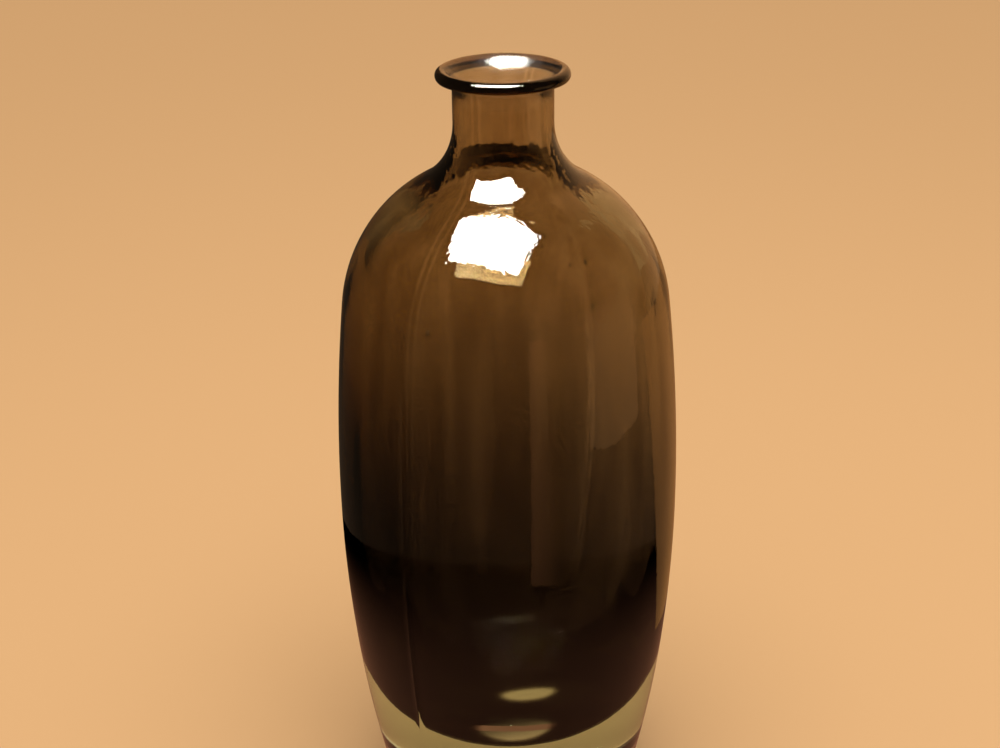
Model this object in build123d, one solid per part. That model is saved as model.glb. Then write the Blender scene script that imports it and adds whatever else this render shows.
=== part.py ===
from build123d import *
import math
import os

# A smoke-lined glass bottle vase that stands on z = 0, with its axis on Z.
# Lengths are in millimetres and angles in degrees.

# Outside of the clear glass
height = 345.0
belly_dia = 150.0
belly_height = 149.0
upper_wall_radius = 835.0
lower_wall_radius = 660.0
shoulder_radius = 67.0
neck_root_radius = 28.0

# Foot
heel_radius = 12.5
bearing_width = 5.0
push_up = 6.0
foot_height = 66.0

# Neck and mouth
bore_dia = 34.0
neck_wall = 3.4
neck_straight = 9.5
flare_depth = 12.0
lip_overhang = 6.6
lip_bead_dia = 5.0
under_lip_radius = 3.0
lip_seat_share = 0.7

# Hollow
belly_wall = 8.0
hollow_root_radius = 44.0
hollow_shoulder_radius = 46.0
hollow_lower_radius = 158.0
hollow_heel_radius = 14.0
floor_height = 55.0
floor_dome_radius = 40.0
lining_wall = 1.2

# Mould seams
seam_width = 2.0
seam_proud = 0.35
seam_angle = 55.0
overrun = 10.0

# Radii and heights that follow from the sizes
bore_radius = bore_dia / 2
neck_radius = bore_radius + neck_wall
belly_radius = belly_dia / 2
bead_radius = lip_bead_dia / 2
lip_radius = neck_radius + lip_overhang
seat_height = height - bead_radius * (1 + lip_seat_share)
flare_foot = height - flare_depth
neck_foot = flare_foot - neck_straight


def meet(centre_a, reach_a, centre_b, reach_b):
    """The point at a given reach from each of two centres, on the right of the way from a to b."""
    way = centre_b - centre_a
    along = (reach_a**2 - reach_b**2 + way.length**2) / (2 * way.length)
    aside = math.sqrt(reach_a**2 - along**2)
    right = Vector(way.Y, -way.X)
    return centre_a + way.normalized() * along + right.normalized() * aside


def on_circle(centre, radius, through):
    """The point of a circle that lies on the way from its centre to another point."""
    return centre + (through - centre).normalized() * radius


def bend(centre, start, end):
    """The short way round a circle from one of its points to another."""
    radius = (start - centre).length
    return ThreePointArc(start, on_circle(centre, radius, (start + end) / 2), end)


def turned(edges):
    """The solid inside a line of edges that starts at a level rim and ends on the axis."""
    rim = edges[0] @ 0
    centre = Vector(0, rim.Y)
    outline = make_face([Line(centre, rim), *edges, Line(edges[-1] @ 1, centre)])
    return revolve(Plane.XZ * outline, Axis.Z)


# Bends of the outside: each shares its tangent with the stretches that it joins
under_lip_centre = Vector(neck_radius + under_lip_radius, seat_height - under_lip_radius)
root_centre = Vector(neck_radius + neck_root_radius, neck_foot)
upper_centre = Vector(belly_radius - upper_wall_radius, belly_height)
lower_centre = Vector(belly_radius - lower_wall_radius, belly_height)
shoulder_centre = meet(
    upper_centre,
    upper_wall_radius - shoulder_radius,
    root_centre,
    neck_root_radius + shoulder_radius,
)
heel_reach = math.sqrt((lower_wall_radius - heel_radius) ** 2 - (belly_height - heel_radius) ** 2)
heel_centre = Vector(lower_centre.X + heel_reach, heel_radius)


def outside(proud):
    """The outer face from the lip's seat down to the standing plane, moved out by a height."""
    top = under_lip_centre + Vector(0, under_lip_radius - proud)
    neck_top = under_lip_centre - Vector(under_lip_radius - proud, 0)
    root_top = root_centre - Vector(neck_root_radius - proud, 0)
    shoulder_top = on_circle(root_centre, neck_root_radius - proud, shoulder_centre)
    shoulder_foot = on_circle(upper_centre, upper_wall_radius + proud, shoulder_centre)
    belly = Vector(belly_radius + proud, belly_height)
    heel_top = on_circle(lower_centre, lower_wall_radius + proud, heel_centre)
    heel_foot = heel_centre - Vector(0, heel_radius + proud)
    return [
        bend(under_lip_centre, top, neck_top),
        Line(neck_top, root_top),
        bend(root_centre, root_top, shoulder_top),
        bend(shoulder_centre, shoulder_top, shoulder_foot),
        bend(upper_centre, shoulder_foot, belly),
        bend(lower_centre, belly, heel_top),
        bend(heel_centre, heel_top, heel_foot),
    ]


# Bends of the hollow: the mouth's flare runs into the lip's bead, and the heel into the domed floor
bead_centre = Vector(lip_radius - bead_radius, height - bead_radius)
flare_gap = bead_centre.X - bore_radius
flare_rise = bead_centre.Y - flare_foot
flare_radius = (flare_gap**2 + flare_rise**2 - bead_radius**2) / (2 * (flare_gap - bead_radius))
flare_centre = Vector(bore_radius + flare_radius, flare_foot)
hollow_radius = belly_radius - belly_wall
hollow_root_centre = Vector(bore_radius + hollow_root_radius, neck_foot)
hollow_upper_radius = upper_wall_radius - belly_wall
hollow_shoulder_centre = meet(
    upper_centre,
    hollow_upper_radius - hollow_shoulder_radius,
    hollow_root_centre,
    hollow_root_radius + hollow_shoulder_radius,
)
hollow_lower_centre = Vector(hollow_radius - hollow_lower_radius, belly_height)
floor_centre = Vector(0, floor_height - floor_dome_radius)
hollow_heel_centre = meet(
    floor_centre,
    floor_dome_radius + hollow_heel_radius,
    hollow_lower_centre,
    hollow_lower_radius - hollow_heel_radius,
)


def mouth_rim(depth):
    """The flare's edge at the lip's seat, on the hollow's face or a depth behind it."""
    radius = flare_radius - depth
    return Vector(flare_centre.X - math.sqrt(radius**2 - (seat_height - flare_foot) ** 2), seat_height)


def hollow(depth):
    """The hollow's face from the lip's seat down to the middle of the floor, or a layer behind it."""
    flare_end = flare_centre - Vector(flare_radius - depth, 0)
    root_top = hollow_root_centre - Vector(hollow_root_radius - depth, 0)
    shoulder_top = on_circle(hollow_root_centre, hollow_root_radius - depth, hollow_shoulder_centre)
    shoulder_foot = on_circle(upper_centre, hollow_upper_radius + depth, hollow_shoulder_centre)
    belly = Vector(hollow_radius + depth, belly_height)
    heel_top = on_circle(hollow_lower_centre, hollow_lower_radius + depth, hollow_heel_centre)
    heel_foot = on_circle(floor_centre, floor_dome_radius - depth, hollow_heel_centre)
    return [
        bend(flare_centre, mouth_rim(depth), flare_end),
        Line(flare_end, root_top),
        bend(hollow_root_centre, root_top, shoulder_top),
        bend(hollow_shoulder_centre, shoulder_top, shoulder_foot),
        bend(upper_centre, shoulder_foot, belly),
        bend(hollow_lower_centre, belly, heel_top),
        bend(hollow_heel_centre, heel_top, heel_foot),
        bend(floor_centre, heel_foot, floor_centre + Vector(0, floor_dome_radius - depth)),
    ]


# Clear glass as blown: the outside with its foot pushed up, less the lined hollow
bearing_edge = Vector(heel_centre.X - bearing_width, 0)
push_up_radius = (bearing_edge.X**2 + push_up**2) / (2 * push_up)
push_up_centre = Vector(0, push_up - push_up_radius)
foot = [
    Line(Vector(heel_centre.X, 0), bearing_edge),
    bend(push_up_centre, bearing_edge, Vector(0, push_up)),
]
lined_hollow = turned(hollow(lining_wall))
clear_glass = turned(outside(0) + foot) - lined_hollow

# Two upright seams where the halves of the mould met
seam_face = outside(seam_proud)
seam_end = seam_face[-1] @ 1
seam_skin = turned(seam_face + [Line(seam_end, Vector(0, seam_end.Y))])
seam_length = seat_height - under_lip_radius - heel_radius
seam_strip = Box(
    belly_dia + overrun,
    seam_width,
    seam_length,
    align=(Align.CENTER, Align.CENTER, Align.MIN),
)
seams = seam_skin & (Pos(0, 0, heel_radius) * Rot(0, 0, seam_angle) * seam_strip)
clear_glass = clear_glass + (seams - lined_hollow)

# Neck, body and base, told apart at the neck's foot and at the top of the thick foot
neck_plane = Plane.XY.offset(neck_foot)
foot_plane = Plane.XY.offset(foot_height)
neck = split(clear_glass, neck_plane, keep=Keep.TOP)
below_neck = split(clear_glass, neck_plane, keep=Keep.BOTTOM)
body = split(below_neck, foot_plane, keep=Keep.TOP)
base = split(below_neck, foot_plane, keep=Keep.BOTTOM)

# Layer of smoke glass on the whole hollow
smoke_lining = lined_hollow - turned(hollow(0))

# Ring turned out around the mouth: the flare's end, rolled into a bead that seats on the neck
bead_top = on_circle(flare_centre, flare_radius, bead_centre)
bead_side = bead_centre + Vector(bead_radius, 0)
seat_drop = bead_centre.Y - seat_height
bead_foot = Vector(bead_centre.X + math.sqrt(bead_radius**2 - seat_drop**2), seat_height)
lip_outline = make_face(
    [
        bend(flare_centre, mouth_rim(0), bead_top),
        bend(bead_centre, bead_top, bead_side),
        bend(bead_centre, bead_side, bead_foot),
        Line(bead_foot, mouth_rim(0)),
    ]
)
lip_ring = revolve(Plane.XZ * lip_outline, Axis.Z)

os.makedirs("parts", exist_ok=True)
export_step(lip_ring, "parts/lip_ring.step")
export_step(neck, "parts/neck.step")
export_step(body, "parts/body.step")
export_step(base, "parts/base.step")
export_step(smoke_lining, "parts/smoke_lining.step")
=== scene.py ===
import math

import bpy
import numpy as np
from mathutils import Matrix, Vector


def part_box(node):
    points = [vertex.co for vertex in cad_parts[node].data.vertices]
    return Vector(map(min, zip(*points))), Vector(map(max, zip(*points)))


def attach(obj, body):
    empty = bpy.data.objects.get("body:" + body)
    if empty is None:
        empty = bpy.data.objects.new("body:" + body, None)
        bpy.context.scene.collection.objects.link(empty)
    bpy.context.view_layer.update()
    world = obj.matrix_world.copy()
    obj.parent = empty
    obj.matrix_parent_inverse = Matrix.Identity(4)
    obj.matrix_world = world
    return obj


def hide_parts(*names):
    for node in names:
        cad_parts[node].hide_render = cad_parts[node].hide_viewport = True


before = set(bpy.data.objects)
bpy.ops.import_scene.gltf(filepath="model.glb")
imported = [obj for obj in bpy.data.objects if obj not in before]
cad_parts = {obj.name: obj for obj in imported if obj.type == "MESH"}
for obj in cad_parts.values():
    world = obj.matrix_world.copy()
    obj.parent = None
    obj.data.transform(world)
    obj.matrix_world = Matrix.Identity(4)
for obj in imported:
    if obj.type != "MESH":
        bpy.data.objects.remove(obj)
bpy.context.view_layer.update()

# Clear glass: base, body, neck and lip are one gather of thick, faintly green glass.
# It is blown into a two-part mould, which leaves an upright seam on each side, and the lip is
# turned out and rolled by hand while it is hot. The foot is pushed up, so it stands on a ring.
MM = 0.001
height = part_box("lip_ring")[1].z
seat_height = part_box("lip_ring")[0].z
lip_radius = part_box("lip_ring")[1].x
neck_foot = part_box("body")[1].z
belly_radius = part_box("body")[1].x
belly_height = 149 * MM
upper_wall_radius = 835 * MM
lower_wall_radius = 660 * MM
shoulder_radius = 67 * MM
neck_root_radius = 28 * MM
neck_radius = 20.4 * MM
under_lip_radius = 3 * MM
heel_radius = 12.5 * MM
bearing_width = 5 * MM
push_up = 6 * MM
bead_radius = 2.5 * MM
bore_radius = 17 * MM
flare_foot = height - 12 * MM
belly_wall = 8 * MM
hollow_root_radius = 44 * MM
hollow_shoulder_radius = 46 * MM
hollow_lower_radius = 158 * MM
hollow_heel_radius = 14 * MM
floor_height = 55 * MM
floor_dome_radius = 40 * MM


def meet(centre_a, reach_a, centre_b, reach_b):
    """The point at a given reach from each of two centres, on the right of the way from a to b."""
    way = centre_b - centre_a
    along = (reach_a**2 - reach_b**2 + way.length_squared) / (2 * way.length)
    aside = math.sqrt(reach_a**2 - along**2)
    right = Vector((way.y, -way.x))
    return centre_a + way.normalized() * along + right.normalized() * aside


def on_circle(centre, radius, through):
    """The point of a circle that lies on the way from its centre to another point."""
    return centre + (through - centre).normalized() * radius


def bend(centre, start, end, steps):
    """Points on the short way round a circle, without the first."""
    first = math.atan2(start.y - centre.y, start.x - centre.x)
    turn = math.atan2(end.y - centre.y, end.x - centre.x) - first
    turn = (turn + math.pi) % (2 * math.pi) - math.pi
    radius = (start - centre).length
    angles = [first + turn * i / steps for i in range(1, steps + 1)]
    return [centre + radius * Vector((math.cos(a), math.sin(a))) for a in angles]


def line(start, end, steps):
    """Points on a straight way, without the first."""
    return [start.lerp(end, i / steps) for i in range(1, steps + 1)]


root_centre = Vector((neck_radius + neck_root_radius, neck_foot))
upper_centre = Vector((belly_radius - upper_wall_radius, belly_height))
lower_centre = Vector((belly_radius - lower_wall_radius, belly_height))
shoulder_centre = meet(
    upper_centre, upper_wall_radius - shoulder_radius, root_centre, neck_root_radius + shoulder_radius
)
heel_reach = math.sqrt((lower_wall_radius - heel_radius) ** 2 - (belly_height - heel_radius) ** 2)
heel_centre = Vector((lower_centre.x + heel_reach, heel_radius))
under_lip_centre = Vector((neck_radius + under_lip_radius, seat_height - under_lip_radius))
bead_centre = Vector((lip_radius - bead_radius, height - bead_radius))
flare_gap = bead_centre.x - bore_radius
flare_rise = bead_centre.y - flare_foot
flare_radius = (flare_gap**2 + flare_rise**2 - bead_radius**2) / (2 * (flare_gap - bead_radius))
flare_centre = Vector((bore_radius + flare_radius, flare_foot))
hollow_radius = belly_radius - belly_wall
hollow_root_centre = Vector((bore_radius + hollow_root_radius, neck_foot))
hollow_upper_radius = upper_wall_radius - belly_wall
hollow_shoulder_centre = meet(
    upper_centre,
    hollow_upper_radius - hollow_shoulder_radius,
    hollow_root_centre,
    hollow_root_radius + hollow_shoulder_radius,
)
hollow_lower_centre = Vector((hollow_radius - hollow_lower_radius, belly_height))
floor_centre = Vector((0, floor_height - floor_dome_radius))
hollow_heel_centre = meet(
    floor_centre,
    floor_dome_radius + hollow_heel_radius,
    hollow_lower_centre,
    hollow_lower_radius - hollow_heel_radius,
)


def outer_face():
    """The outside of the vase, from the middle of the push-up to the top of the lip's bead."""
    bearing_edge = Vector((heel_centre.x - bearing_width, 0))
    push_up_radius = (bearing_edge.x**2 + push_up**2) / (2 * push_up)
    push_up_centre = Vector((0, push_up - push_up_radius))
    heel_foot = Vector((heel_centre.x, 0))
    heel_top = on_circle(lower_centre, lower_wall_radius, heel_centre)
    belly = Vector((belly_radius, belly_height))
    shoulder_foot = on_circle(upper_centre, upper_wall_radius, shoulder_centre)
    shoulder_top = on_circle(root_centre, neck_root_radius, shoulder_centre)
    root_top = Vector((neck_radius, neck_foot))
    neck_top = Vector((neck_radius, under_lip_centre.y))
    seat = Vector((under_lip_centre.x, seat_height))
    seat_drop = bead_centre.y - seat_height
    bead_foot = Vector((bead_centre.x + math.sqrt(bead_radius**2 - seat_drop**2), seat_height))
    bead_side = bead_centre + Vector((bead_radius, 0))
    bead_top = on_circle(flare_centre, flare_radius, bead_centre)
    return [
        Vector((0, push_up)),
        *bend(push_up_centre, Vector((0, push_up)), bearing_edge, 14),
        *line(bearing_edge, heel_foot, 2),
        *bend(heel_centre, heel_foot, heel_top, 16),
        *bend(lower_centre, heel_top, belly, 38),
        *bend(upper_centre, belly, shoulder_foot, 34),
        *bend(shoulder_centre, shoulder_foot, shoulder_top, 36),
        *bend(root_centre, shoulder_top, root_top, 22),
        *line(root_top, neck_top, 8),
        *bend(under_lip_centre, neck_top, seat, 8),
        *line(seat, bead_foot, 3),
        *bend(bead_centre, bead_foot, bead_side, 6),
        *bend(bead_centre, bead_side, bead_top, 14),
    ]


def hollow_face(depth):
    """The hollow's face from the bead's top to the middle of the floor, or a layer behind it."""
    bead_top = on_circle(flare_centre, flare_radius - depth, bead_centre)
    flare_end = flare_centre - Vector((flare_radius - depth, 0))
    root_top = hollow_root_centre - Vector((hollow_root_radius - depth, 0))
    shoulder_top = on_circle(hollow_root_centre, hollow_root_radius - depth, hollow_shoulder_centre)
    shoulder_foot = on_circle(upper_centre, hollow_upper_radius + depth, hollow_shoulder_centre)
    belly = Vector((hollow_radius + depth, belly_height))
    heel_top = on_circle(hollow_lower_centre, hollow_lower_radius + depth, hollow_heel_centre)
    heel_foot = on_circle(floor_centre, floor_dome_radius - depth, hollow_heel_centre)
    floor_middle = Vector((0, floor_height - depth))
    return [
        *bend(flare_centre, bead_top, flare_end, 12),
        *line(flare_end, root_top, 6),
        *bend(hollow_root_centre, root_top, shoulder_top, 20),
        *bend(hollow_shoulder_centre, shoulder_top, shoulder_foot, 32),
        *bend(upper_centre, shoulder_foot, belly, 28),
        *bend(hollow_lower_centre, belly, heel_top, 34),
        *bend(hollow_heel_centre, heel_top, heel_foot, 16),
        *bend(floor_centre, heel_foot, floor_middle, 12),
    ]


def drawn_profile(name, points):
    """A new object with a line of edges through points of the X-Z plane, left in edit mode."""
    bpy.ops.object.select_all(action="DESELECT")
    bpy.ops.mesh.primitive_plane_add(size=belly_radius)
    piece = bpy.context.object
    piece.name = name
    piece.data.name = name
    bpy.ops.object.mode_set(mode="EDIT")
    bpy.ops.mesh.merge(type="CENTER")
    bpy.ops.transform.translate(value=(points[0].x, 0, points[0].y))
    for here, there in zip(points, points[1:]):
        step = (there.x - here.x, 0, there.y - here.y)
        bpy.ops.mesh.extrude_region_move(TRANSFORM_OT_translate={"value": step})
    return piece


weld = 0.004 * MM
round_steps = 128


def turned(turns):
    """Spins the drawn profile about the axis, by a list of angles and their steps, and closes it."""
    bpy.ops.mesh.select_all(action="SELECT")
    for angle, steps in turns:
        bpy.ops.mesh.spin(steps=steps, angle=-angle, center=(0, 0, 0), axis=(0, 0, 1))
    bpy.ops.mesh.select_all(action="SELECT")
    bpy.ops.mesh.remove_doubles(threshold=weld)
    bpy.ops.mesh.normals_make_consistent(inside=False)
    bpy.ops.object.mode_set(mode="OBJECT")
    bpy.ops.object.shade_smooth()


seam_angle = math.radians(55)
seam_width = 2 * MM
seam_proud = 0.35 * MM
seam_turn = seam_width / belly_radius
vase_glass = drawn_profile("vase_glass", outer_face() + hollow_face(0))
turned(
    [
        (seam_angle - seam_turn / 2, 34),
        (seam_turn, 4),
        (math.pi - seam_turn, 108),
        (seam_turn, 4),
        (math.pi - seam_angle - seam_turn / 2, 74),
    ]
)


wave_count = 14
fewest_round, most_round = 3, 26


def slow_waves(turn, rise, upright, seed):
    """Slow waves round and up the wall, between 0 and 1."""
    rng = np.random.default_rng(seed)
    total = np.zeros_like(turn)
    for _ in range(wave_count):
        lean = rng.uniform(-upright, upright)
        total += np.sin(rng.integers(fewest_round, most_round) * turn + lean * rise + rng.uniform(0, 6.28))
    return 0.5 + 0.5 * total / np.abs(total).max()


# The mould leaves the outside a little wavy, and the wall's thickness wanders with the blowing.
# Heights in this part are shares of the vase's height.
outer_wave = 0.25 * MM
hollow_wave = 0.9 * MM
neck_wave = 0.6 * MM
wave_foot, wave_rise = 0.17, 0.10
wave_top, wave_fall = 0.93, 0.15
drip_height, drip_spread = 0.87, 0.04
skin_depth = 2.2 * MM
under_floor = 12 * MM
mesh = vase_glass.data
points = np.empty(len(mesh.vertices) * 3)
mesh.vertices.foreach_get("co", points)
points = points.reshape(-1, 3)
reach = np.hypot(points[:, 0], points[:, 1])
azimuth = np.arctan2(points[:, 1], points[:, 0])
rise = points[:, 2] / height
# The points on the domed floor are left out, because one height has two radii there
floor_points = 14
between = sorted((p.y, p.x) for p in hollow_face(skin_depth)[:-floor_points])
parting = np.interp(points[:, 2], [z for z, _ in between], [r for _, r in between])
outside = (reach > parting) | (points[:, 2] < floor_height - under_floor)
fade = np.clip((rise - wave_foot) / wave_rise, 0, 1) * np.clip((wave_top - rise) / wave_fall, 0, 1)
inward = np.where(outside, outer_wave, hollow_wave) * fade
waves = np.where(outside, slow_waves(azimuth, rise, 9, 3), slow_waves(azimuth, rise, 9, 8))
inward = inward * waves
at_neck = np.where(outside, 0, np.exp(-(((rise - drip_height) / drip_spread) ** 2)))
inward = inward + neck_wave * at_neck * slow_waves(azimuth, rise, 160, 5)
points[:, :2] *= (1 - inward / np.maximum(reach, bore_radius))[:, None]
mesh.vertices.foreach_set("co", points.ravel())

# Marks that the material reads: ripples where the mould chilled the skin, strongest on the shoulder,
# drips at the neck's foot, and a slight satin on the flare and on the hollow's floor
ripple_foot = 0.02
chill_foot, chill_rise, chill_least = 0.66, 0.08, 0.3
satin_foot, satin_rise = 0.955, 0.01
satin_radius, satin_fade, satin_top = 41 * MM, 4 * MM, 62 * MM
chilled = chill_least + (1 - chill_least) * np.clip((rise - chill_foot) / chill_rise, 0, 1)
on_flare = np.clip((rise - satin_foot) / satin_rise, 0, 1)
on_floor = np.clip((satin_radius - reach) / satin_fade, 0, 1) * (points[:, 2] < satin_top)
for name, amount in (
    ("mould_side", np.where(outside & (rise > ripple_foot), chilled, 0)),
    ("blown_side", at_neck.astype(float)),
    ("satin_side", np.where(outside, 0, np.maximum(on_flare, on_floor))),
):
    mark = mesh.attributes.new(name, "FLOAT", "POINT")
    mark.data.foreach_set("value", amount)

# Seams: two ribs where the halves of the mould met, raised from the columns of faces left for them.
# The shoulder and the neck were worked longest in the fire, which has softened the ribs there.
rib_top = 225 * MM
aside = np.abs((azimuth - seam_angle + math.pi / 2) % math.pi - math.pi / 2) / seam_turn
on_wall = outside & (points[:, 2] > heel_radius) & (points[:, 2] < rib_top)
for width_share, raise_share in ((0.3, 0.6), (0.1, 0.4)):
    bpy.ops.object.select_all(action="DESELECT")
    vase_glass.select_set(True)
    bpy.context.view_layer.objects.active = vase_glass
    bpy.ops.object.mode_set(mode="EDIT")
    bpy.ops.mesh.select_mode(type="VERT")
    bpy.ops.mesh.select_all(action="DESELECT")
    bpy.ops.object.mode_set(mode="OBJECT")
    mesh.vertices.foreach_set("select", on_wall & (aside < width_share))
    bpy.ops.object.mode_set(mode="EDIT")
    bpy.ops.transform.shrink_fatten(value=seam_proud * raise_share)
    bpy.ops.object.mode_set(mode="OBJECT")

# Seeds: small bubbles that stayed in the wall, drawn out upwards.
# Each has its angle in degrees, and its height, its depth in the wall and its width in mm.
seeds = [
    (243, 257, 2.2, 1.5),
    (304, 280, 2.0, 1.2),
    (297, 280, 2.6, 0.9),
    (265, 266, 3.0, 1.0),
    (302, 265, 2.4, 1.3),
    (273, 246, 3.2, 1.1),
    (220, 212, 2.6, 1.0),
    (286, 209, 3.4, 0.8),
    (304, 193, 2.2, 0.9),
    (248, 180, 3.0, 0.8),
    (287, 287, 2.2, 0.8),
    (258, 234, 3.6, 0.7),
    (314, 245, 2.4, 0.9),
    (20, 230, 2.5, 1.2),
    (75, 262, 2.5, 1.0),
    (140, 205, 3.0, 1.3),
    (172, 250, 2.4, 0.9),
    (110, 120, 4.0, 1.1),
]
seed_stretch = 1.5
heel_point, neck_point = 17, 170
outer_line = sorted((p.y, p.x) for p in outer_face()[heel_point:neck_point])
bubbles = []
for turn, rise_mm, depth_mm, size_mm in seeds:
    wall = np.interp(rise_mm * MM, [z for z, _ in outer_line], [r for _, r in outer_line])
    out = wall - depth_mm * MM
    angle = math.radians(turn)
    bpy.ops.object.select_all(action="DESELECT")
    bpy.ops.mesh.primitive_uv_sphere_add(
        segments=16,
        ring_count=10,
        radius=size_mm * MM / 2,
        location=(out * math.cos(angle), out * math.sin(angle), rise_mm * MM),
        scale=(1, 1, seed_stretch),
    )
    bpy.ops.object.transform_apply(location=True, rotation=True, scale=True)
    bpy.ops.object.mode_set(mode="EDIT")
    bpy.ops.mesh.select_all(action="SELECT")
    bpy.ops.mesh.flip_normals()
    bpy.ops.object.mode_set(mode="OBJECT")
    bpy.ops.object.shade_smooth()
    bubbles.append(bpy.context.object)
bpy.ops.object.select_all(action="DESELECT")
for bubble in bubbles:
    bubble.select_set(True)
vase_glass.select_set(True)
bpy.context.view_layer.objects.active = vase_glass
bpy.ops.object.join()

glass_tint, glass_density, glass_ior = (0.62, 0.72, 0.50, 1), 12.0, 1.5
ripple_scale, ripple_stretch, ripple_depth = 900, 0.5, 0.034 * MM
drip_scale, drip_detail, drip_depth = 240, 1.5, 0.55 * MM
satin_roughness = 0.22
glass = bpy.data.materials.new("clear_green_glass")
glass.use_nodes = True
nodes = glass.node_tree.nodes
links = glass.node_tree.links
surface = nodes["Principled BSDF"]
surface.inputs["Base Color"].default_value = (1, 1, 1, 1)
surface.inputs["IOR"].default_value = glass_ior
surface.inputs["Transmission Weight"].default_value = 1.0
inside = nodes.new("ShaderNodeVolumeAbsorption")
inside.inputs["Color"].default_value = glass_tint
inside.inputs["Density"].default_value = glass_density
links.new(inside.outputs["Volume"], nodes["Material Output"].inputs["Volume"])
place = nodes.new("ShaderNodeTexCoord")
stretch = nodes.new("ShaderNodeMapping")
stretch.inputs["Scale"].default_value = (1, 1, ripple_stretch)
ripple = nodes.new("ShaderNodeTexNoise")
ripple.inputs["Scale"].default_value = ripple_scale
ripple.inputs["Detail"].default_value = 0
side = nodes.new("ShaderNodeAttribute")
side.attribute_name = "mould_side"
bump = nodes.new("ShaderNodeBump")
bump.inputs["Distance"].default_value = ripple_depth
links.new(place.outputs["Object"], stretch.inputs["Vector"])
links.new(stretch.outputs["Vector"], ripple.inputs["Vector"])
links.new(ripple.outputs["Fac"], bump.inputs["Height"])
links.new(side.outputs["Fac"], bump.inputs["Strength"])
blown = nodes.new("ShaderNodeAttribute")
blown.attribute_name = "blown_side"
drips = nodes.new("ShaderNodeTexNoise")
drips.inputs["Scale"].default_value = drip_scale
drips.inputs["Detail"].default_value = drip_detail
drip_bump = nodes.new("ShaderNodeBump")
drip_bump.inputs["Distance"].default_value = drip_depth
links.new(place.outputs["Object"], drips.inputs["Vector"])
links.new(drips.outputs["Fac"], drip_bump.inputs["Height"])
links.new(blown.outputs["Fac"], drip_bump.inputs["Strength"])
links.new(bump.outputs["Normal"], drip_bump.inputs["Normal"])
links.new(drip_bump.outputs["Normal"], surface.inputs["Normal"])
dulled = nodes.new("ShaderNodeAttribute")
dulled.attribute_name = "satin_side"
satin = nodes.new("ShaderNodeMath")
satin.operation = "MULTIPLY"
satin.inputs[1].default_value = satin_roughness
links.new(dulled.outputs["Fac"], satin.inputs[0])
links.new(satin.outputs[0], surface.inputs["Roughness"])
vase_glass.data.materials.clear()
vase_glass.data.materials.append(glass)
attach(vase_glass, "root")
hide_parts("neck", "body", "base")

# Lip ring: the mouth's edge, turned out and rolled over so that the smoke layer folds into a bead.
# The clear glass runs round it, and the folded layer tints it dark brown; the rest of its near-black look
# is the dark surroundings that the bead bends into view.
lip_skin = 0.35 * MM
folded_tint = (0.48, 0.40, 0.32, 1)
lip_reach = bead_radius - lip_skin
lip_start = bead_centre + Vector((0, lip_reach))
lip_foot = bead_centre - Vector((0, lip_reach))
lip_side = bead_centre + Vector((lip_reach, 0))
lip_inner = bead_centre - Vector((lip_reach, 0))
lip_loop = [
    *bend(bead_centre, lip_start, lip_side, 7),
    *bend(bead_centre, lip_side, lip_foot, 7),
    *bend(bead_centre, lip_foot, lip_inner, 7),
    *bend(bead_centre, lip_inner, lip_start, 7),
]
lip_ring = drawn_profile("rolled_lip", lip_loop + lip_loop[:1])
turned([(2 * math.pi, round_steps)])


def tinted_layer(name):
    """A new material that only colours the light that passes, with its nodes, links and shader."""
    layer = bpy.data.materials.new(name)
    layer.use_nodes = True
    tree = layer.node_tree
    tree.nodes.remove(tree.nodes["Principled BSDF"])
    film = tree.nodes.new("ShaderNodeBsdfTransparent")
    tree.links.new(film.outputs["BSDF"], tree.nodes["Material Output"].inputs["Surface"])
    return layer, tree.nodes, tree.links, film


folded, nodes, links, film = tinted_layer("folded_smoke_glass")
film.inputs["Color"].default_value = folded_tint
lip_ring.data.materials.append(folded)
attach(lip_ring, "root")
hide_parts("lip_ring")

# Smoke lining: a thin layer of smoke-brown glass over the whole hollow.
# It was gathered first, so it lies inside the clear glass. It runs from pale at the neck to dense below,
# and the dense lower part is partly painted shade, for the darker surroundings seen through the lower
# body.
skin = 0.25 * MM
lining_wall = 1.2 * MM
near = hollow_face(skin)
far = hollow_face(lining_wall)
smoke_lining = drawn_profile("smoke_layer", list(reversed(far)) + near)
turned([(2 * math.pi, round_steps)])

smoke, nodes, links, film = tinted_layer("smoke_brown_glass")


def combined(operation, value, other):
    """A step of arithmetic on two sockets, or on a socket and a number."""
    step = nodes.new("ShaderNodeMath")
    step.operation = operation
    for socket, given in zip(step.inputs, (value, other)):
        if isinstance(given, (int, float)):
            socket.default_value = given
        else:
            links.new(given, socket)
    return step.outputs["Value"]


def measured(operation, place, other, result):
    """A step of vector arithmetic on a socket and a fixed vector, and which of its results to take."""
    step = nodes.new("ShaderNodeVectorMath")
    step.operation = operation
    step.inputs[1].default_value = other
    links.new(place, step.inputs[0])
    return step.outputs[result]


def ranged(value, start, end, low, high, shape="SMOOTHSTEP"):
    """A socket's value, carried from one range to another and held at its ends."""
    span = nodes.new("ShaderNodeMapRange")
    span.interpolation_type = shape
    for name, number in (("From Min", start), ("From Max", end), ("To Min", low), ("To Max", high)):
        span.inputs[name].default_value = number
    links.new(value, span.inputs["Value"])
    return span.outputs["Result"]


def thin_spot(centre, radii, core):
    """What is left of the layer round a spot where it thins out: centre and radii in mm."""
    apart = measured("SUBTRACT", spot, [c * MM for c in centre], "Vector")
    share = measured("DIVIDE", apart, [r * MM for r in radii], "Vector")
    return ranged(measured("LENGTH", share, (0, 0, 0), "Value"), core, 1, spot_left, 1)


place = nodes.new("ShaderNodeTexCoord")
spot = place.outputs["Object"]
split = nodes.new("ShaderNodeSeparateXYZ")
links.new(spot, split.inputs["Vector"])
across = split.outputs["X"]
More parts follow.
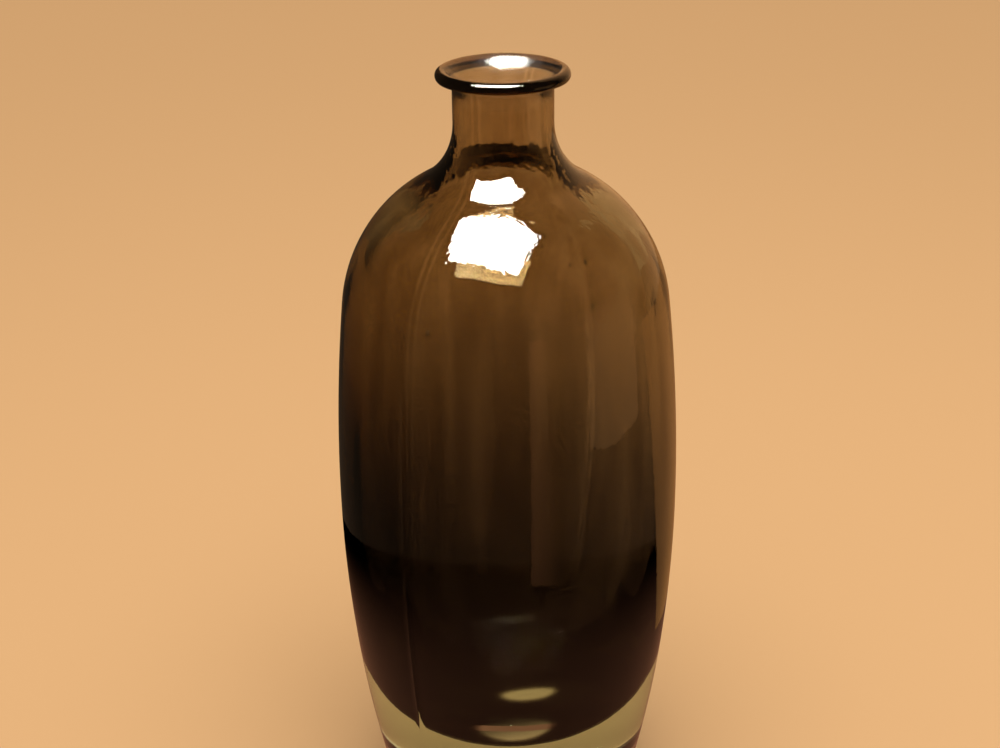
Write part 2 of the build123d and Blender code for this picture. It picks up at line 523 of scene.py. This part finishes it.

# Share of the height, and what one crossing of the layer lets through; the dark lower stops are partly
# painted shade
stops = [
    (0.14, (0.095, 0.084, 0.076)),
    (0.40, (0.110, 0.098, 0.088)),
    (0.56, (0.278, 0.225, 0.167)),
    (0.68, (0.448, 0.366, 0.252)),
    (0.80, (0.500, 0.412, 0.284)),
    (0.95, (0.555, 0.456, 0.316)),
]
ramp = nodes.new("ShaderNodeValToRGB")
ramp.color_ramp.interpolation = "B_SPLINE"
while len(ramp.color_ramp.elements) < len(stops):
    ramp.color_ramp.elements.new(1.0)
for element, (share, clear) in zip(ramp.color_ramp.elements, stops):
    element.position = share
    element.color = (*[math.sqrt(c) for c in clear], 1)
links.new(ranged(split.outputs["Z"], 0, height, 0, 1, "LINEAR"), ramp.inputs["Fac"])

# The layer is streaky along the vase
streak_scale, streak_detail, streak_length = 75, 3, 0.06
streak_pale, streak_dense = 0.82, 1.18
stretch = nodes.new("ShaderNodeMapping")
stretch.inputs["Scale"].default_value = (1, 1, streak_length)
streaks = nodes.new("ShaderNodeTexNoise")
streaks.inputs["Scale"].default_value = streak_scale
streaks.inputs["Detail"].default_value = streak_detail
links.new(spot, stretch.inputs["Vector"])
links.new(stretch.outputs["Vector"], streaks.inputs["Vector"])
density = ranged(streaks.outputs["Fac"], 0.3, 0.7, streak_pale, streak_dense, "LINEAR")

# It thins out at two spots on the front of the hollow's lower wall, where the painted light under the foot
# shows through as a glint and a pale patch
spot_left = 0.04
density = combined("MULTIPLY", density, thin_spot((2, -46, 58), (24, 14, 16), 0.7))
density = combined("MULTIPLY", density, thin_spot((7, -54, 87), (15, 10, 6.5), 0.6))

# Painted shade and light: the layer is made denser on the left, most of all where the hollow's side turns
# away, and paler on the right, for the room being darker on the left and brighter on the right
shaded_left_density, lit_right_density = 1.18, 0.86
shaded_edge_start, shaded_edge_density = -45 * MM, 0.4
lean = ranged(across, -hollow_radius, hollow_radius, shaded_left_density, lit_right_density, "LINEAR")
shaded_left_edge = ranged(across, shaded_edge_start, -hollow_radius, 0, shaded_edge_density)
density = combined("MULTIPLY", density, combined("ADD", lean, shaded_left_edge))

# Along each side of a seam the layer is made a little thinner: painted light, for the pale double line
# that the rib and its reflection inside the wall show
seam_side, seam_core, seam_fade, seam_left = 1.5 * MM, 0.2 * MM, 1.0 * MM, 0.74
seam_normal = (-math.sin(seam_angle), math.cos(seam_angle), 0)
off_seam = combined("ABSOLUTE", measured("DOT_PRODUCT", spot, seam_normal, "Value"), 0)
off_line = combined("ABSOLUTE", combined("SUBTRACT", off_seam, seam_side), 0)
density = combined("MULTIPLY", density, ranged(off_line, seam_core, seam_fade, seam_left, 1))

depth = nodes.new("ShaderNodeGamma")
links.new(ramp.outputs["Color"], depth.inputs["Color"])
links.new(density, depth.inputs["Gamma"])
links.new(depth.outputs["Color"], film.inputs["Color"])
smoke_lining.data.materials.append(smoke)
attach(smoke_lining, "root")
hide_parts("smoke_lining")

# Floor: one plain matt sheet in a warm sand tone, which also shows through the glass and tints it.
# It is large enough to fill the photograph's view.
bpy.ops.object.select_all(action="DESELECT")
floor_size = 12
floor_drop = 0.3 * MM
sand_tone = (0.775, 0.455, 0.215, 1)
bpy.ops.mesh.primitive_plane_add(size=floor_size, location=(0, 0, -floor_drop))
floor = bpy.context.object
floor.name = "floor"
bpy.ops.object.transform_apply(location=True)
sand = bpy.data.materials.new("warm_sand_floor")
sand.use_nodes = True
surface = sand.node_tree.nodes["Principled BSDF"]
surface.inputs["Base Color"].default_value = sand_tone
surface.inputs["Roughness"].default_value = 0.9
surface.inputs["Specular IOR Level"].default_value = 0.0
floor.data.materials.append(sand)
floor.visible_glossy = False

# Light: one large soft panel overhead and an even room, which the glass mirrors only dimly.
world = bpy.data.worlds.new("even_room")
bpy.context.scene.world = world
world.use_nodes = True
nodes = world.node_tree.nodes
links = world.node_tree.links
room = nodes["Background"]
mirrored = nodes.new("ShaderNodeBackground")
mirrored.inputs["Color"].default_value = (1.0, 0.62, 0.36, 1)
mirrored.inputs["Strength"].default_value = 0.05
path = nodes.new("ShaderNodeLightPath")
through = path.outputs["Is Transmission Ray"]
# Through the glass the room is warm, and brighter behind on the right than on the left
bright_way = (0.66, 0.75, 0.05)
dimmest, brightest = 0.08, 0.9
way = nodes.new("ShaderNodeTexCoord")
towards = measured("DOT_PRODUCT", way.outputs["Generated"], bright_way, "Value")
strength = nodes.new("ShaderNodeMix")
strength.inputs["A"].default_value = 0.8
links.new(through, strength.inputs["Factor"])
links.new(ranged(towards, 0.0, 0.9, dimmest, brightest), strength.inputs["B"])
links.new(strength.outputs["Result"], room.inputs["Strength"])
tint = nodes.new("ShaderNodeMix")
tint.data_type = "RGBA"
tint.inputs["A"].default_value = (1.0, 0.96, 0.90, 1)
tint.inputs["B"].default_value = (1.0, 0.70, 0.40, 1)
links.new(through, tint.inputs["Factor"])
links.new(tint.outputs["Result"], room.inputs["Color"])
# Only what the glass throws back sees the dim room
thrown_back = nodes.new("ShaderNodeMath")
thrown_back.operation = "SUBTRACT"
thrown_back.use_clamp = True
links.new(path.outputs["Is Glossy Ray"], thrown_back.inputs[0])
links.new(through, thrown_back.inputs[1])
either = nodes.new("ShaderNodeMixShader")
links.new(thrown_back.outputs[0], either.inputs["Fac"])
links.new(room.outputs["Background"], either.inputs[1])
links.new(mirrored.outputs["Background"], either.inputs[2])
links.new(either.outputs["Shader"], nodes["World Output"].inputs["Surface"])

panel_height = 1.295
panel = bpy.data.lights.new("soft_panel", "AREA")
panel.shape = "RECTANGLE"
panel.size, panel.size_y = 1.0, 0.75
panel.energy = 6.5
soft_panel = bpy.data.objects.new("soft_panel", panel)
soft_panel.location = (0.12, -0.235, panel_height)
soft_panel.rotation_euler = (0, 0, math.radians(-26))
soft_panel.visible_glossy = False
soft_panel.visible_transmission = False
bpy.context.scene.collection.objects.link(soft_panel)


def mirror_card(name, corners, colour, strength, measure, anchor, dark, bright):
    """A flat glowing card that shows only in the glass, and that fades out along a measure."""
    card_mesh = bpy.data.meshes.new(name)
    card_mesh.from_pydata(corners, [], [tuple(range(len(corners)))])
    card = bpy.data.objects.new(name, card_mesh)
    bpy.context.scene.collection.objects.link(card)
    glow = bpy.data.materials.new(name)
    glow.use_nodes = True
    nodes = glow.node_tree.nodes
    links = glow.node_tree.links
    nodes.remove(nodes["Principled BSDF"])
    lamp = nodes.new("ShaderNodeEmission")
    lamp.inputs["Color"].default_value = (*colour, 1)
    place = nodes.new("ShaderNodeTexCoord")
    along = nodes.new("ShaderNodeVectorMath")
    along.operation = measure
    along.inputs[1].default_value = anchor
    fade = nodes.new("ShaderNodeMapRange")
    fade.interpolation_type = "SMOOTHSTEP"
    fade.inputs["From Min"].default_value = dark
    fade.inputs["From Max"].default_value = bright
    fade.inputs["To Max"].default_value = strength
    path = nodes.new("ShaderNodeLightPath")
    direct = nodes.new("ShaderNodeMath")
    direct.operation = "LESS_THAN"
    direct.inputs[1].default_value = 0.5
    level = nodes.new("ShaderNodeMath")
    level.operation = "MULTIPLY"
    links.new(place.outputs["Object"], along.inputs[0])
    links.new(along.outputs["Value"], fade.inputs["Value"])
    links.new(path.outputs["Diffuse Depth"], direct.inputs[0])
    links.new(direct.outputs[0], level.inputs[0])
    links.new(fade.outputs["Result"], level.inputs[1])
    links.new(level.outputs[0], lamp.inputs["Strength"])
    links.new(lamp.outputs["Emission"], nodes["Material Output"].inputs["Surface"])
    card_mesh.materials.append(glow)
    card.visible_camera = False
    card.visible_diffuse = False
    card.visible_shadow = False
    return card


def upright(foot, top):
    """The corners of a card that stands on a line between two points of the floor."""
    (x0, y0), (x1, y1) = foot
    return [(x0, y0, 0), (x1, y1, 0), (x1, y1, top), (x0, y0, top)]


# The glass mirrors the panel through this bright glowing card, a painted highlight in the lamp's place,
# since the lamp itself is hidden from reflections
panel_corners = [(-0.440, 0.141), (0.091, 0.022), (0.367, -0.215), (0.180, -0.930), (-0.816, -0.444)]
panel_face = [(x, y, panel_height) for x, y in panel_corners]
mirror_card("panel_face", panel_face, (1.0, 0.97, 0.88), 58, "DOT_PRODUCT", (0, 0, 1), 0, 1)


disc_sides = 64


def disc(centre, radius, rise):
    """The corners of a round card that lies at a height."""
    turns = [2 * math.pi * i / disc_sides for i in range(disc_sides)]
    return [(centre[0] + radius * math.cos(a), centre[1] + radius * math.sin(a), rise) for a in turns]


# Dim warm glowing cards to the right, in front, behind and on the floor, which the glass mirrors as soft
# bands of painted reflection along the wall
along_x, along_z = (1, 0, 0), (0, 0, 1)
right_card = upright([(0.479, -0.361), (0.600, 0.010)], 0.46)
front_card = upright([(0.0675, -0.2923), (0.160, -0.258)], 0.27)
back_card = upright([(1.90, 0.30), (-0.30, 2.10)], 2.6)
side_foot = [(0.15, 0.06), (1.5, 0.30), (1.5, 1.2), (0.6, 2.1), (0.0, 2.1), (0.0, 0.35), (0.10, 0.15)]
side_card = [(x, y, 0.2 * MM) for x, y in side_foot]
near_spot = (0, -0.04, 0)
near_card = disc(near_spot, 0.30, 0.1 * MM)
for name, corners, colour, strength, measure, anchor, dark, bright in (
    ("right_card", right_card, (1.0, 0.54, 0.22), 0.50, "DOT_PRODUCT", along_z, 0.46, 0.24),
    ("front_card", front_card, (1.0, 0.42, 0.18), 0.36, "DOT_PRODUCT", along_x, 0.158, 0.075),
    ("back_card", back_card, (1.0, 0.52, 0.22), 0.80, "DOT_PRODUCT", along_x, 1.90, 0.55),
    ("side_card", side_card, (1.0, 0.44, 0.14), 0.42, "DOT_PRODUCT", along_x, 0.0, 0.14),
    ("near_card", near_card, (1.0, 0.40, 0.20), 0.28, "DISTANCE", near_spot, 0.28, 0.12),
):
    card = mirror_card(name, corners, colour, strength, measure, anchor, dark, bright)
    card.visible_transmission = False

# The thick foot gathers light on the floor under it, which shows only through the glass
# A glowing card under the foot is this light, painted: through the thin spots in the lining it shows as
# the glint and the pale patch low on the front
foot_spot = (0.008, -0.012, 0)
foot_card = mirror_card(
    "foot_card",
    disc(foot_spot, 0.06, -0.15 * MM),
    (1.0, 0.60, 0.26),
    0.62,
    "DISTANCE",
    foot_spot,
    0.048,
    0.012,
)
foot_card.visible_glossy = False

# Camera: the photograph's view, from a little above the mouth and looking down.
eye = bpy.data.cameras.new("eye")
eye.sensor_width = 36
eye.lens = 52.2
camera = bpy.data.objects.new("eye", eye)
camera.location = (0, -0.5667, 0.4841)
aim_aside, aim_down, aim_roll = 0.288, 25.72, -0.85
look = Matrix.Rotation(math.radians(aim_aside), 3, "Z")
look = look @ Matrix.Rotation(math.radians(90 - aim_down), 3, "X")
look = look @ Matrix.Rotation(math.radians(aim_roll), 3, "Z")
camera.rotation_euler = look.to_euler()
bpy.context.scene.collection.objects.link(camera)
bpy.context.scene.camera = camera
bpy.context.scene.view_settings.view_transform = "Standard"
bpy.context.scene.cycles.max_bounces = 24
bpy.context.scene.cycles.transmission_bounces = 24
bpy.context.scene.cycles.transparent_max_bounces = 32
bpy.context.scene.cycles.sample_clamp_indirect = 0
